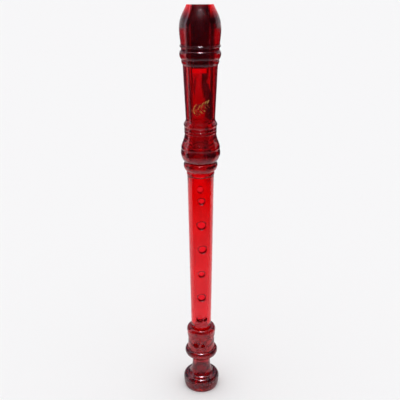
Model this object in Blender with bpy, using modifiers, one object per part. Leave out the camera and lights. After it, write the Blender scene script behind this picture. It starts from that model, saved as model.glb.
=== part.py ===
"""Soprano recorder in three joints, moulded in translucent red plastic.

Metres, +Z up along the bore. The origin is the centre of the foot's bottom face, the finger holes and
the window face -Y and the thumb hole faces +Y. The recorder stands on its bell, as it is stored.
"""

import math

import bmesh
import bpy

MM = 0.001

# Fits between the pieces
FIT_GAP = 0.3 * MM  # all round each tenon and round the block
SEAT_GAP = 0.3 * MM  # between a shoulder and the rim that it sits on

# Bores and walls
HEAD_BORE_RADIUS = 7.0 * MM
BARREL_TOP_WALL = 6.15 * MM
BARREL_END_WALL = 4.3 * MM
MIDDLE_BORE_TOP_RADIUS = 6.7 * MM
MIDDLE_BORE_END_RADIUS = 5.6 * MM
TENON_WALL = 1.9 * MM
HEAD_SHOULDER = 1.95 * MM  # step from the upper tenon out to the tube
FOOT_SHOULDER = 0.95 * MM  # step from the lower tenon out to the tube
FOOT_WALL = 3.85 * MM  # outside the foot's socket
FOOT_BORE_END_RADIUS = 5.2 * MM
BELL_MOUTH_RADIUS = 6.6 * MM
BELL_MOUTH_DEPTH = 3.0 * MM

# Lengths along the bore
HEAD_TENON_LENGTH = 22.0 * MM
FOOT_TENON_LENGTH = 11.0 * MM
TENON_CHAMFER = 0.5 * MM
MIDDLE_LENGTH = 136.9 * MM  # between the two shoulders
BARREL_LENGTH = 40.6 * MM
BEAK_LENGTH = 28.4 * MM
BEAK_SHOULDER = 16.6 * MM  # from the tip to the widest place
FOOT_BODY_LENGTH = 12.4 * MM  # the foot's plain stretch, with the double hole
NECK_LENGTH = 16.6 * MM
BELL_LENGTH = 14.4 * MM

# Turned mouldings: how far each stands out, and how tall it is
BEAK_SWELL = 2.35 * MM
BEAK_BASE_DROP = 0.85 * MM
BEAK_BEAD_HEIGHT = 2.0 * MM
BEAK_BEAD_SWELL = 0.75 * MM
BEAK_GROOVE_HEIGHT = 2.0 * MM
BEAK_GROOVE_DEPTH = 0.35 * MM
HEAD_RING_HEIGHT = 6.6 * MM
HEAD_RING_SWELL = 1.55 * MM
UNDER_RING_HEIGHT = 4.2 * MM
UNDER_RING_STEP = 0.6 * MM  # how far the ring's foot stands out from the barrel
UNDER_RING_SWELL = 0.95 * MM
FLARE_HEIGHT = 6.4 * MM
FLARE_SWELL = 1.65 * MM
REED_HEIGHT = 2.4 * MM
REED_SWELL = 0.3 * MM
REED_STEP = 0.95 * MM  # how far the reeds' base stands out from the barrel
COVE_HEIGHT = 10.6 * MM
BULB_SWELL = 3.85 * MM
BULB_HEIGHT = 12.6 * MM
INCISION = 0.35 * MM
INCISION_HEIGHT = 2.6 * MM
END_RING_HEIGHT = 6.8 * MM
END_RING_SWELL = 2.7 * MM
WAIST_STEP = 1.5 * MM  # how far the waist above the end ring stands out from the tube
END_GROOVE_HEIGHT = 0.6 * MM
END_BEAD_HEIGHT = 3.4 * MM
END_BEAD_SWELL = 0.4 * MM
COLLAR_BEVEL_HEIGHT = 3.4 * MM
COLLAR_HEIGHT = 8.6 * MM
COLLAR_SWELL = 0.7 * MM
COLLAR_TAPER = 1.45 * MM  # how far the collar's rounded top closes in
FOOT_RING_HEIGHT = 7.5 * MM
FOOT_RING_SWELL = 1.65 * MM
NECK_RADIUS = 7.7 * MM
NECK_FLARE = 1.8 * MM  # at the neck's lower end, where the bell starts
NECK_BEAD_SWELL = 1.1 * MM
NECK_BEAD_HEIGHT = 2.4 * MM
NECK_BEAD_DROP = 1.1 * MM  # below the ring
BELL_RADIUS = 15.5 * MM
BELL_BAND_HEIGHT = 6.8 * MM  # the plain band under the bell's round roll
BELL_FACE_RADIUS = 14.2 * MM  # the flat end that it stands on

# Windway, window and lip
WINDOW_INSET = 1.0 * MM  # from the bore's side wall in to each side of the window
WINDOW_HEIGHT = 4.0 * MM
WINDOW_BELOW_RING = 1.2 * MM
WINDWAY_HEIGHT = 1.0 * MM  # where the air leaves it
MOUTH_HEIGHT = 1.7 * MM  # where the player blows
TIP_WALL = 1.5 * MM
LIP_EDGE = 0.35 * MM
LIP_DROP = 0.3 * MM  # the lip's underside below the bore's front
RAMP_LENGTH = 18.5 * MM
RAMP_END_SHARE = 0.62  # the ramp's width at its lower end, as a share of the window's width
UNDERCUT_LENGTH = 14.0 * MM

# Beak
TIP_THICKNESS = 7.4 * MM
BEAK_CUT_LENGTH = 23.0 * MM
BEAK_CUT_RADIUS = 46.0 * MM

# Holes: share of the tube's length below its upper shoulder, radius, and turn towards +X
MIDDLE_TURN = math.radians(4.0)
DOUBLE_TURN = math.radians(11.5)
FOOT_TURN = math.radians(-6.2)
THUMB_HOLE = (0.107, 2.9 * MM)
FINGER_HOLES = {
    "hole_1": (0.141, 2.6 * MM, 0.0),
    "hole_2": (0.293, 3.4 * MM, 0.0),
    "hole_3": (0.449, 3.2 * MM, math.radians(6.0)),
    "hole_4": (0.613, 2.6 * MM, 0.0),
    "hole_5": (0.775, 3.15 * MM, 0.0),
}
DOUBLE_HOLE_SHARE = 0.930
DOUBLE_LARGE_RADIUS = 2.6 * MM
DOUBLE_SMALL_RADIUS = 1.75 * MM
DOUBLE_WEB = 0.6 * MM  # wall left between the two holes of a pair
FOOT_LARGE_RADIUS = 2.4 * MM
FOOT_SMALL_RADIUS = 1.6 * MM
FOOT_WEB = 1.9 * MM
FOOT_HOLE_BELOW_SOCKET = 3.7 * MM

TURN_STEPS = 32
DRILL_SIDES = 16
CUT_SIDES = 64
PAST = 4.0 * MM  # how far a cutter runs past what it cuts
DRILL_START = 1.0 * MM  # from the bore's middle
RIM_ROUND = 0.2 * MM  # on the tube's two shoulders

# Radii that follow from the bores and the walls
head_tenon_radius = MIDDLE_BORE_TOP_RADIUS + TENON_WALL
foot_tenon_radius = MIDDLE_BORE_END_RADIUS + TENON_WALL
tube_top_radius = head_tenon_radius + HEAD_SHOULDER
tube_end_radius = foot_tenon_radius + FOOT_SHOULDER
head_socket_radius = head_tenon_radius + FIT_GAP
foot_socket_radius = foot_tenon_radius + FIT_GAP
barrel_top_radius = HEAD_BORE_RADIUS + BARREL_TOP_WALL
barrel_end_radius = HEAD_BORE_RADIUS + BARREL_END_WALL
foot_radius = foot_socket_radius + FOOT_WALL
windway_floor = HEAD_BORE_RADIUS
windway_roof = windway_floor + WINDWAY_HEIGHT
mouth_roof = windway_floor + MOUTH_HEIGHT
tip_radius = mouth_roof + TIP_WALL
beak_radius = barrel_top_radius + BEAK_SWELL
window_half = HEAD_BORE_RADIUS - WINDOW_INSET

# Heights, from the bench up
neck_low = BELL_LENGTH
neck_high = neck_low + NECK_LENGTH
foot_ring_high = neck_high + FOOT_RING_HEIGHT
collar_low = foot_ring_high + FOOT_BODY_LENGTH
foot_high = collar_low + COLLAR_HEIGHT
foot_socket_low = foot_high - FOOT_TENON_LENGTH
tube_low = foot_high + SEAT_GAP
tube_high = tube_low + MIDDLE_LENGTH
head_low = tube_high + SEAT_GAP
head_socket_high = head_low + HEAD_TENON_LENGTH
end_ring_low = head_low + END_BEAD_HEIGHT + END_GROOVE_HEIGHT
bulb_low = end_ring_low + END_RING_HEIGHT
cove_low = bulb_low + BULB_HEIGHT
reeds_low = cove_low + COVE_HEIGHT
flare_low = reeds_low + 2 * REED_HEIGHT
barrel_low = flare_low + FLARE_HEIGHT
barrel_high = barrel_low + BARREL_LENGTH
head_ring_low = barrel_high + UNDER_RING_HEIGHT
beak_groove_low = head_ring_low + HEAD_RING_HEIGHT
beak_bead_low = beak_groove_low + BEAK_GROOVE_HEIGHT
beak_low = beak_bead_low + BEAK_BEAD_HEIGHT
beak_high = beak_low + BEAK_LENGTH
window_high = barrel_high - WINDOW_BELOW_RING
lip_height = window_high - WINDOW_HEIGHT


def bead(upper, lower, swell, steps=4):
    """Half an ellipse from one (radius, height) to the next, standing out by swell."""
    turn = [math.pi * i / steps for i in range(steps + 1)]
    share = [(1 - math.cos(a)) / 2 for a in turn]
    return [
        (
            upper[0] + (lower[0] - upper[0]) * s + swell * math.sin(a),
            upper[1] + (lower[1] - upper[1]) * s,
        )
        for s, a in zip(share, turn)
    ]


def sweep(start, start_pull, end_pull, end, steps=5):
    """Cubic Bezier from start to end, through (radius, height) control points."""
    points = []
    for i in range(steps + 1):
        t = i / steps
        weights = ((1 - t) ** 3, 3 * t * (1 - t) ** 2, 3 * t * t * (1 - t), t**3)
        pulls = (start, start_pull, end_pull, end)
        points.append(tuple(sum(w * p[k] for w, p in zip(weights, pulls)) for k in (0, 1)))
    return points


def clear_scene():
    for thing in list(bpy.data.objects):
        bpy.data.objects.remove(thing)


def new_collection(name, hidden=False):
    collection = bpy.data.collections.new(name)
    collection.hide_render = hidden
    bpy.context.scene.collection.children.link(collection)
    return collection


def plastic(name, color, roughness, transmission):
    material = bpy.data.materials.new(name)
    material.use_nodes = True
    shader = material.node_tree.nodes["Principled BSDF"]
    shader.inputs["Base Color"].default_value = (*color, 1.0)
    shader.inputs["Roughness"].default_value = roughness
    shader.inputs["Metallic"].default_value = 0.0
    shader.inputs["Transmission Weight"].default_value = transmission
    material.diffuse_color = (*color, 1.0)
    return material


def place(name, mesh, collection, material=None):
    thing = bpy.data.objects.new(name, mesh)
    collection.objects.link(thing)
    if material:
        mesh.materials.append(material)
    else:
        thing.hide_render = True
        thing.display_type = "WIRE"
    return thing


def turned(name, outline, material):
    """A closed outline of (radius, height) points, turned about the bore."""
    corners = [p for i, p in enumerate(outline) if math.dist(p, outline[i - 1]) > 0.02 * MM]
    shape = bmesh.new()
    points = [shape.verts.new((radius, 0.0, height)) for radius, height in corners]
    for i, point in enumerate(points):
        shape.edges.new((points[i - 1], point))
    mesh = bpy.data.meshes.new(name)
    shape.to_mesh(mesh)
    shape.free()
    thing = place(name, mesh, parts, material)
    screw = thing.modifiers.new("turn", "SCREW")
    screw.axis = "Z"
    screw.angle = math.tau
    screw.steps = TURN_STEPS
    screw.render_steps = TURN_STEPS
    screw.use_merge_vertices = True
    screw.merge_threshold = 0.01 * MM
    screw.use_smooth_shade = True
    return thing


def drill(name, radius, height, turn, side=0.0, back=False):
    """A round cutter from inside the bore out through one wall, set side metres to +X of its radius."""
    reach = beak_radius + PAST
    shape = bmesh.new()
    bmesh.ops.create_cone(
        shape,
        cap_ends=True,
        segments=DRILL_SIDES,
        radius1=radius,
        radius2=radius,
        depth=reach - DRILL_START,
    )
    mesh = bpy.data.meshes.new(name)
    shape.to_mesh(mesh)
    shape.free()
    cutter = place(name, mesh, cutters)
    heading = turn + (math.pi if back else 0.0)
    middle = (reach + DRILL_START) / 2
    cutter.rotation_euler = (math.pi / 2, 0.0, heading)
    cutter.location = (
        middle * math.sin(heading) + side * math.cos(heading),
        -middle * math.cos(heading) + side * math.sin(heading),
        height,
    )
    return cutter


def outline_cutter(name, outline, half_width):
    """A flat (y, z) outline, thickened along X to both sides."""
    curve = bpy.data.curves.new(name, "CURVE")
    curve.dimensions = "2D"
    curve.fill_mode = "BOTH"
    curve.extrude = half_width
    spline = curve.splines.new("POLY")
    spline.points.add(len(outline) - 1)
    for point, (y, z) in zip(spline.points, outline):
        point.co = (y, z, 0.0, 1.0)
    spline.use_cyclic_u = True
    drawn = place(name + "_outline", curve, cutters)
    drawn.rotation_euler = (math.pi / 2, 0.0, math.pi / 2)
    bpy.context.view_layer.update()
    mesh = bpy.data.meshes.new_from_object(drawn.evaluated_get(bpy.context.evaluated_depsgraph_get()))
    shape = bmesh.new()
    shape.from_mesh(mesh)
    bmesh.ops.remove_doubles(shape, verts=shape.verts, dist=0.001 * MM)
    bmesh.ops.recalc_face_normals(shape, faces=shape.faces)
    shape.to_mesh(mesh)
    shape.free()
    cutter = place(name, mesh, cutters)
    cutter.matrix_world = drawn.matrix_world
    bpy.data.objects.remove(drawn)
    return cutter


def box_cutter(name, low, high):
    shape = bmesh.new()
    bmesh.ops.create_cube(shape, size=1.0)
    for vertex in shape.verts:
        vertex.co = [l if c < 0 else h for c, l, h in zip(vertex.co, low, high)]
    mesh = bpy.data.meshes.new(name)
    shape.to_mesh(mesh)
    shape.free()
    return place(name, mesh, cutters)


def ramp_cutter():
    """The wedge above the lip's slope. Its sides close in towards its lower end."""
    outer = barrel_top_radius + (barrel_end_radius - barrel_top_radius) * RAMP_LENGTH / BARREL_LENGTH
    slope = (outer - (windway_floor + LIP_EDGE)) / RAMP_LENGTH
    run_past = RAMP_LENGTH + PAST
    front = beak_radius + PAST
    cutter = box_cutter(
        "ramp_cutter",
        (-window_half, -front, lip_height - run_past),
        (window_half, 0.0, lip_height + WINDOW_HEIGHT / 2),
    )
    for vertex in cutter.data.vertices:
        if vertex.co.z < lip_height:
            vertex.co.x *= RAMP_END_SHARE
        if vertex.co.y > -front / 2:
            vertex.co.y = -(windway_floor + LIP_EDGE + slope * (lip_height - vertex.co.z))
    return cutter


def beak_cutter():
    """A cylinder across the bore that hollows the beak's back from the tip down, through two points."""
    tip = (-tip_radius + TIP_THICKNESS, beak_high)
    heel = (beak_radius, beak_high - BEAK_CUT_LENGTH)
    half = math.dist(tip, heel) / 2
    along = ((heel[0] - tip[0]) / (2 * half), (heel[1] - tip[1]) / (2 * half))
    out = math.sqrt(BEAK_CUT_RADIUS**2 - half**2)
    middle = ((tip[0] + heel[0]) / 2, (tip[1] + heel[1]) / 2)
    shape = bmesh.new()
    bmesh.ops.create_cone(
        shape,
        cap_ends=True,
        segments=CUT_SIDES,
        radius1=BEAK_CUT_RADIUS,
        radius2=BEAK_CUT_RADIUS,
        depth=2 * (beak_radius + PAST),
    )
    mesh = bpy.data.meshes.new("beak_cutter")
    shape.to_mesh(mesh)
    shape.free()
    cutter = place("beak_cutter", mesh, cutters)
    cutter.rotation_euler = (0.0, math.pi / 2, 0.0)
    cutter.location = (0.0, middle[0] - out * along[1], middle[1] + out * along[0])
    return cutter


def cut(thing, cutter, operation="DIFFERENCE"):
    boolean = thing.modifiers.new(cutter.name, "BOOLEAN")
    boolean.operation = operation
    boolean.solver = "EXACT"
    boolean.object = cutter


def drill_pair(thing, name, large, small, web, height, turn):
    """Two holes either side of a web of wall that faces turn, the large one to -X."""
    cut(thing, drill(name + "_large", large, height, turn, -large - web / 2))
    cut(thing, drill(name + "_small", small, height, turn, small + web / 2))


def head_joint():
    """Beak, windway roof, window, lip, barrel, and the socket for the middle joint."""
    top = barrel_top_radius
    base = beak_radius - BEAK_BASE_DROP
    groove = base - BEAK_GROOVE_DEPTH
    under = top + UNDER_RING_STEP
    reeds = barrel_end_radius + REED_STEP
    bulb = barrel_end_radius + BULB_SWELL
    waist = tube_top_radius + WAIST_STEP
    end = tube_top_radius
    reed_middle = (reeds, reeds_low + REED_HEIGHT)
    flare_edge = (barrel_end_radius + FLARE_SWELL, flare_low + 0.28 * FLARE_HEIGHT)
    incision_low = cove_low - INCISION_HEIGHT
    outline = sweep(
        (tip_radius, beak_high),
        (tip_radius + 1.8 * MM, beak_high - 0.32 * BEAK_SHOULDER),
        (beak_radius, beak_high - 0.55 * BEAK_SHOULDER),
        (beak_radius, beak_high - BEAK_SHOULDER),
        steps=7,
    )
    outline += sweep(
        (beak_radius, beak_high - BEAK_SHOULDER),
        (beak_radius, beak_low + 6.4 * MM),
        (base + 0.1 * MM, beak_low + 3.0 * MM),
        (base, beak_low),
        steps=3,
    )
    outline += bead((base, beak_low), (groove + 0.1 * MM, beak_bead_low), BEAK_BEAD_SWELL)
    outline += [(groove, beak_groove_low)]
    outline += bead((groove, beak_groove_low), (under, head_ring_low), HEAD_RING_SWELL, steps=6)
    outline += sweep(
        (under, head_ring_low - 0.2 * MM),
        (under + UNDER_RING_SWELL, head_ring_low - 0.5 * MM),
        (top + UNDER_RING_SWELL, barrel_high + 1.2 * MM),
        (top, barrel_high),
        steps=4,
    )
    outline += [(barrel_end_radius, barrel_low)]
    outline += sweep(
        (barrel_end_radius, barrel_low),
        (barrel_end_radius, barrel_low - 2.2 * MM),
        (flare_edge[0], flare_edge[1] + 1.8 * MM),
        flare_edge,
        steps=4,
    )
    outline += [(reeds, flare_low)]
    outline += bead((reeds, flare_low), reed_middle, REED_SWELL, steps=3)
    outline += bead(reed_middle, (reeds, reeds_low), REED_SWELL, steps=3)
    outline += sweep(
        (reeds, reeds_low),
        (reeds + 0.2 * MM, reeds_low - 4.4 * MM),
        (bulb - 1.0 * MM, cove_low + 3.6 * MM),
        (bulb - 0.05 * MM, cove_low),
    )
    outline += [(bulb - 0.05 * MM, cove_low - 1.0 * MM), (bulb - INCISION, cove_low - 1.8 * MM)]
    outline += sweep(
        (bulb, incision_low),
        (bulb + 0.9 * MM, incision_low - 4.2 * MM),
        (bulb - 0.9 * MM, bulb_low + 2.4 * MM),
        (waist, bulb_low),
        steps=6,
    )
    outline += bead(
        (waist, bulb_low), (end + 0.3 * MM, end_ring_low), END_RING_SWELL / 2 + 0.4 * MM, steps=6
    )
    outline += bead((end, end_ring_low - END_GROOVE_HEIGHT), (end - 0.05 * MM, head_low), END_BEAD_SWELL)
    outline += [
        (head_socket_radius + TENON_CHAMFER, head_low),
        (head_socket_radius, head_low + TENON_CHAMFER),
        (head_socket_radius, head_socket_high + SEAT_GAP),
        (HEAD_BORE_RADIUS, head_socket_high + SEAT_GAP),
        (HEAD_BORE_RADIUS, beak_high),
    ]
    head = turned("head_joint", outline, red_plastic)
    bore_side = math.sqrt(HEAD_BORE_RADIUS**2 - window_half**2)
    windway = outline_cutter(
        "windway_cutter",
        [
            (0.0, beak_high + PAST),
            (-mouth_roof, beak_high + PAST),
            (-mouth_roof, beak_high),
            (-windway_roof, window_high),
            (-windway_floor + LIP_DROP, lip_height),
            (-bore_side, lip_height - UNDERCUT_LENGTH),
            (0.0, lip_height - UNDERCUT_LENGTH),
        ],
        window_half,
    )
    window = box_cutter(
        "window_cutter",
        (-window_half, -beak_radius - PAST, lip_height),
        (window_half, -window_half / 2, window_high),
    )
    for cutter in (windway, window, ramp_cutter(), beak_cut):
        cut(head, cutter)
    return head


def block():
    """The plug in the beak. Its flat front is the windway's floor, and its back is flush with the beak."""
    length = beak_high - window_high
    shape = bmesh.new()
    bmesh.ops.create_cone(
        shape,
        cap_ends=True,
        segments=TURN_STEPS,
        radius1=HEAD_BORE_RADIUS - FIT_GAP,
        radius2=HEAD_BORE_RADIUS - FIT_GAP,
        depth=length,
    )
    mesh = bpy.data.meshes.new("block")
    shape.to_mesh(mesh)
    shape.free()
    plug = place("block", mesh, parts, dark_plastic)
    plug.location = (0.0, 0.0, window_high + length / 2)
    floor = box_cutter(
        "windway_floor_block",
        (-window_half + FIT_GAP, -windway_floor, window_high),
        (window_half - FIT_GAP, 0.0, beak_high),
    )
    cut(plug, floor, "UNION")
    cut(plug, beak_cut)
    return plug


def middle_joint():
    """The tube between its two tenons, with the thumb hole, five holes and a double hole."""
    tenon_high = tube_high + HEAD_TENON_LENGTH
    tenon_low = tube_low - FOOT_TENON_LENGTH + SEAT_GAP
    outline = [
        (head_tenon_radius - TENON_CHAMFER, tenon_high),
        (head_tenon_radius, tenon_high - TENON_CHAMFER),
        (head_tenon_radius, tube_high),
        (tube_top_radius - RIM_ROUND, tube_high),
        (tube_top_radius, tube_high - RIM_ROUND),
        (tube_end_radius, tube_low + RIM_ROUND),
        (tube_end_radius - RIM_ROUND, tube_low),
        (foot_tenon_radius, tube_low),
        (foot_tenon_radius, tenon_low + TENON_CHAMFER),
        (foot_tenon_radius - TENON_CHAMFER, tenon_low),
        (MIDDLE_BORE_END_RADIUS, tenon_low),
        (MIDDLE_BORE_TOP_RADIUS, tenon_high),
    ]
    middle = turned("middle_joint", outline, red_plastic)
    share, radius = THUMB_HOLE
    cut(middle, drill("thumb_hole", radius, tube_high - share * MIDDLE_LENGTH, MIDDLE_TURN, back=True))
    for name, (share, radius, turn) in FINGER_HOLES.items():
        cut(middle, drill(name, radius, tube_high - share * MIDDLE_LENGTH, MIDDLE_TURN + turn))
    drill_pair(
        middle,
        "hole_6",
        DOUBLE_LARGE_RADIUS,
        DOUBLE_SMALL_RADIUS,
        DOUBLE_WEB,
        tube_high - DOUBLE_HOLE_SHARE * MIDDLE_LENGTH,
        DOUBLE_TURN,
    )
    return middle


def foot_joint():
    """The socket with its collar, the last double hole, a ring, a neck and the bell."""
    radius = foot_radius
    collar = radius + COLLAR_SWELL
    collar_edge = foot_high - COLLAR_BEVEL_HEIGHT
    bead_high = neck_high - NECK_BEAD_DROP
    bead_low = bead_high - NECK_BEAD_HEIGHT
    neck_bead = NECK_RADIUS + 0.3 * MM
    roll_low = BELL_BAND_HEIGHT
    outline = sweep(
        (collar - COLLAR_TAPER, foot_high),
        (collar - 0.6 * MM, foot_high - 0.6 * MM),
        (collar, collar_edge + 1.6 * MM),
        (collar, collar_edge),
        steps=3,
    )
    outline += sweep(
        (collar, collar_edge),
        (collar, collar_edge - 1.0 * MM),
        (radius + 0.25 * MM, collar_edge - 1.4 * MM),
        (radius + 0.25 * MM, collar_low + 2.4 * MM),
        steps=3,
    )
    outline += bead(
        (radius + 0.1 * MM, collar_low + 1.8 * MM), (radius - 0.2 * MM, collar_low), 0.3 * MM, steps=3
    )
    outline += sweep(
        (radius - 0.3 * MM, collar_low - 0.4 * MM),
        (radius - 0.35 * MM, collar_low - 0.5 * FOOT_BODY_LENGTH),
        (radius - 0.1 * MM, foot_ring_high + 2.0 * MM),
        (radius, foot_ring_high),
        steps=3,
    )
    outline += bead(
        (radius, foot_ring_high), (NECK_RADIUS + 2.6 * MM, neck_high), FOOT_RING_SWELL + 1.3 * MM, steps=7
    )
    outline += bead((neck_bead, bead_high), (neck_bead, bead_low), NECK_BEAD_SWELL - 0.3 * MM)
    outline += sweep(
        (NECK_RADIUS, bead_low - 0.3 * MM),
        (NECK_RADIUS - 0.3 * MM, bead_low - 5.0 * MM),
        (NECK_RADIUS + 0.6 * MM, neck_low + 2.6 * MM),
        (NECK_RADIUS + NECK_FLARE, neck_low),
        steps=4,
    )
    outline += sweep(
        (NECK_RADIUS + NECK_FLARE, neck_low),
        (NECK_RADIUS + 2.6 * MM, neck_low - 1.4 * MM),
        (BELL_RADIUS - 3.8 * MM, neck_low - 1.9 * MM),
        (BELL_RADIUS - 2.9 * MM, neck_low - 2.0 * MM),
        steps=3,
    )
    outline += sweep(
        (BELL_RADIUS - 2.9 * MM, neck_low - 2.0 * MM),
        (BELL_RADIUS - 0.9 * MM, neck_low - 2.2 * MM),
        (BELL_RADIUS, neck_low - 4.4 * MM),
        (BELL_RADIUS, roll_low + 1.4 * MM),
    )
    outline += sweep(
        (BELL_RADIUS, roll_low + 1.4 * MM),
        (BELL_RADIUS, roll_low + 0.6 * MM),
        (BELL_RADIUS - 0.15 * MM, roll_low + 0.2 * MM),
        (BELL_RADIUS - 0.45 * MM, roll_low),
        steps=3,
    )
    outline += sweep(
        (BELL_RADIUS - 0.25 * MM, roll_low - 0.5 * MM),
        (BELL_RADIUS - 0.3 * MM, 0.5 * roll_low),
        (BELL_RADIUS - 0.7 * MM, 1.4 * MM),
        (BELL_FACE_RADIUS, 0.0),
        steps=4,
    )
    outline += sweep(
        (BELL_MOUTH_RADIUS, 0.0),
        (BELL_MOUTH_RADIUS - 0.7 * MM, 0.25 * BELL_MOUTH_DEPTH),
        (FOOT_BORE_END_RADIUS, 0.6 * BELL_MOUTH_DEPTH),
        (FOOT_BORE_END_RADIUS, BELL_MOUTH_DEPTH),
        steps=3,
    )
    outline += [
        (MIDDLE_BORE_END_RADIUS, foot_socket_low - SEAT_GAP),
        (foot_socket_radius, foot_socket_low - SEAT_GAP),
        (foot_socket_radius, foot_high - TENON_CHAMFER),
        (foot_socket_radius + TENON_CHAMFER, foot_high),
    ]
    foot = turned("foot_joint", outline, red_plastic)
    drill_pair(
        foot,
        "hole_7",
        FOOT_LARGE_RADIUS,
        FOOT_SMALL_RADIUS,
        FOOT_WEB,
        foot_socket_low - FOOT_HOLE_BELOW_SOCKET,
        FOOT_TURN,
    )
    return foot


clear_scene()
parts = new_collection("soprano_recorder")
cutters = new_collection("cutters", hidden=True)
red_plastic = plastic("translucent_red_plastic", (0.62, 0.015, 0.035), 0.08, 0.8)
dark_plastic = plastic("dense_red_plastic", (0.16, 0.004, 0.01), 0.15, 0.3)
beak_cut = beak_cutter()
head_joint()
block()
middle_joint()
foot_joint()
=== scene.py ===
import math

import bmesh
import bpy
import numpy as np
from mathutils import Euler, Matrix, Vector


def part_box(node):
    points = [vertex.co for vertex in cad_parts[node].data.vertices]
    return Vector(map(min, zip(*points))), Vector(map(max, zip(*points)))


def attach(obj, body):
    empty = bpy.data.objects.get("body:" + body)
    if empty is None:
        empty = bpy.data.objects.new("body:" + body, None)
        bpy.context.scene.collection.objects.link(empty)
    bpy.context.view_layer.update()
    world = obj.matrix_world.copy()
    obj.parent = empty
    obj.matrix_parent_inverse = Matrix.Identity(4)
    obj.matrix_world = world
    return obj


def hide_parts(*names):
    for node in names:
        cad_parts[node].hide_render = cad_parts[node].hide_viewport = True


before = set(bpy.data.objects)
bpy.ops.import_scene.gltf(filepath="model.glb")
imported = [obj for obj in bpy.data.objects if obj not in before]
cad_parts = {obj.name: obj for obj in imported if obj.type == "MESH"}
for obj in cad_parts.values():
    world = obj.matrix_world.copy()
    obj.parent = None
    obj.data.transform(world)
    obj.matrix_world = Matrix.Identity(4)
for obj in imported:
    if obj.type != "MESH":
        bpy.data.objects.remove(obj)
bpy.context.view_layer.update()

MM = 0.001

# ---------------------------------------------------------------------------------------------
# The bench and the light. The recorder stands on a white sweep, seen from a little above its
# beak, with broad soft light all round and a small lamp high in front of it.
# ---------------------------------------------------------------------------------------------
scene = bpy.context.scene
scene.view_settings.view_transform = "Standard"
scene.view_settings.look = "None"
scene.cycles.transmission_bounces = 24
scene.cycles.max_bounces = 28

CAMERA_BACK = 0.467
CAMERA_HEIGHT = 0.350
CAMERA_PITCH = math.radians(20.5)
CAMERA_PAN = math.radians(0.07)
CAMERA_ROLL = math.radians(-0.24)
CAMERA_LENS = 55.8

camera_data = bpy.data.cameras.new("camera")
camera_data.lens = CAMERA_LENS
camera_data.sensor_width = 36.0
camera_data.clip_start = 0.01
camera_data.clip_end = 40.0
camera = bpy.data.objects.new("camera", camera_data)
scene.collection.objects.link(camera)
camera.location = (0.0, -CAMERA_BACK, CAMERA_HEIGHT)
aim = Euler((math.pi / 2 - CAMERA_PITCH, 0.0, CAMERA_PAN)).to_matrix()
camera.rotation_euler = (aim @ Euler((0.0, 0.0, CAMERA_ROLL)).to_matrix()).to_euler()
scene.camera = camera

FLOOR_REACH = 14.0
SWEEP_WHITE = (0.875, 0.896, 0.845)
HORIZON_WHITE = (0.925, 0.922, 0.928, 1.0)
WALL_GREY = (0.45, 0.41, 0.53, 1.0)
CEILING_WHITE = (1.85, 1.83, 1.86, 1.0)


def link_mesh(name, points, faces):
    """An object at the origin from arrays of points and of faces with the same number of corners."""
    mesh = bpy.data.meshes.new(name)
    count = faces.shape[1]
    mesh.vertices.add(len(points))
    mesh.vertices.foreach_set("co", np.ascontiguousarray(points, np.float32).ravel())
    mesh.loops.add(faces.size)
    mesh.loops.foreach_set("vertex_index", np.ascontiguousarray(faces, np.int32).ravel())
    mesh.polygons.add(len(faces))
    mesh.polygons.foreach_set("loop_start", np.arange(0, faces.size, count, dtype=np.int32))
    mesh.update(calc_edges=True)
    mesh.polygons.foreach_set("use_smooth", np.ones(len(faces), bool))
    mesh.validate()
    thing = bpy.data.objects.new(name, mesh)
    scene.collection.objects.link(thing)
    return thing


def sheet_of_paper(name, color, roughness):
    """Matt paper or card of one colour, without gloss."""
    material = bpy.data.materials.new(name)
    material.use_nodes = True
    shader = material.node_tree.nodes["Principled BSDF"]
    shader.inputs["Base Color"].default_value = (*color, 1.0)
    shader.inputs["Roughness"].default_value = roughness
    shader.inputs["Specular IOR Level"].default_value = 0.0
    return material


bench = link_mesh(
    "bench",
    np.array([(-1, -1, 0), (1, -1, 0), (1, 1, 0), (-1, 1, 0)], float) * FLOOR_REACH - (0, 0, 0.05 * MM),
    np.array([(0, 1, 2, 3)]),
)
bench.data.materials.append(sheet_of_paper("white_sweep", SWEEP_WHITE, 0.55))

world = bpy.data.worlds.new("studio")
scene.world = world
world.use_nodes = True
nodes, links = world.node_tree.nodes, world.node_tree.links
sky = nodes["Background"]
direction = nodes.new("ShaderNodeTexCoord")
axes = nodes.new("ShaderNodeSeparateXYZ")
fade = nodes.new("ShaderNodeValToRGB")
fade.color_ramp.elements[0].position = 0.17
fade.color_ramp.elements[0].color = HORIZON_WHITE
fade.color_ramp.elements[1].position = 0.90
fade.color_ramp.elements[1].color = CEILING_WHITE
for position in (0.35, 0.62):
    fade.color_ramp.elements.new(position).color = WALL_GREY
links.new(direction.outputs["Generated"], axes.inputs["Vector"])
links.new(axes.outputs["Z"], fade.inputs["Fac"])
links.new(fade.outputs["Color"], sky.inputs["Color"])


def lamp(name, place, aim_at, size, power, color=(1.0, 1.0, 1.0)):
    """A soft lamp of a width and height at a place, turned to face another."""
    data = bpy.data.lights.new(name, "AREA")
    data.shape = "RECTANGLE"
    data.size, data.size_y = size
    data.energy = power
    data.color = color
    thing = bpy.data.objects.new(name, data)
    scene.collection.objects.link(thing)
    thing.location = place
    thing.rotation_euler = (Vector(aim_at) - Vector(place)).to_track_quat("-Z", "Y").to_euler()
    thing.visible_diffuse = False
    return thing


lamp("left_softbox", (-1.1, -0.1, 0.55), (0.0, 0.0, 0.18), (0.45, 0.9), 1.4, (1.0, 0.9, 1.0))
lamp("front_softbox", (0.0, -0.45, 1.30), (0.0, 0.0, 0.2), (0.26, 0.22), 25.0)

FLAG_REACH = 0.60
FLAG_HEIGHT = 0.265
SCREEN_REACH = 0.50
SCREEN_HEIGHT = 1.0
APRON_START = 0.10
APRON_END = 0.45
CARD_COLUMNS = 49


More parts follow.
